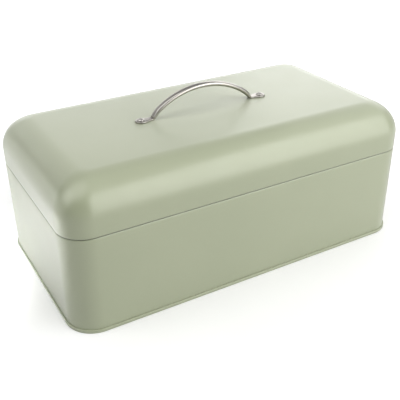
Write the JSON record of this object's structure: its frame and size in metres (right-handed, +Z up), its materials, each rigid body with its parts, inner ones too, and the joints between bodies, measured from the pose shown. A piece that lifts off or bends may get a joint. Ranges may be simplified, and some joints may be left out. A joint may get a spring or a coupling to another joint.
{
  "type": "lift-off-lid bread bin",
  "caption": "Rectangular powder-coated steel bread bin with rounded corners, a domed lift-off lid and a riveted steel bow handle.",
  "frame": {"origin": "centre of the bottom seam's footprint, on the surface the bin stands on", "axes": "+X along the long side, -Y to the front, +Z up; the lid lifts off along +Z"},
  "size_m": [0.4232, 0.2302, 0.1948],
  "materials": {
    "powder_coat": "satin sage-green powder coat",
    "handle_steel": "satin stainless steel, drawn along the bow",
    "rivet_steel": "bright formed rivet head",
    "washer_steel": "zinc-bright stamped washer"
  },
  "bodies": {
    "base": {"body_wall": "powder_coat", "base_pan": "powder_coat"},
    "lid": {"lid_shell": "powder_coat", "handle": "handle_steel", "rivet_left": "rivet_steel", "rivet_right": "rivet_steel", "washer_left": "washer_steel", "washer_right": "washer_steel"}
  },
  "joints": [
    {"name": "lid_lift", "type": "slide", "parent": "base", "child": "lid", "axis": [0, 0, 1], "range_m": [0, 0.2]}
  ]
}
